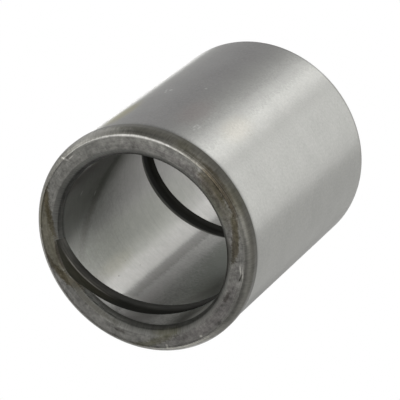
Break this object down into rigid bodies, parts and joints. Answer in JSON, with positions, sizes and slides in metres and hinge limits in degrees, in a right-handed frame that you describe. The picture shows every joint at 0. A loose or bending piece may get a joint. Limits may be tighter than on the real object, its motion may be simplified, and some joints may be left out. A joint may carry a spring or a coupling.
{
  "type": "bushing",
  "caption": "Hardened steel sleeve bushing for a pivot pin: ground outside with a slightly raised lip at its end, and a helical grease groove cut through its bore.",
  "frame": {"origin": "centre of the plain end's face, on the bore's axis, where the bushing stands", "axes": "+Z along the bore's axis from the plain end to the lip end; the grease groove starts in the lip end's lead-in at 54 degrees from +X, counterclockwise seen from the lip"},
  "size_m": [0.0657, 0.0656, 0.08],
  "materials": {
    "hardened_steel": "satin ground steel outside and in the bore, with a dark, stained, as-turned lip and a dark oxide in the grease groove"
  },
  "bodies": {
    "root": {"sleeve": "hardened_steel"}
  },
  "joints": []
}
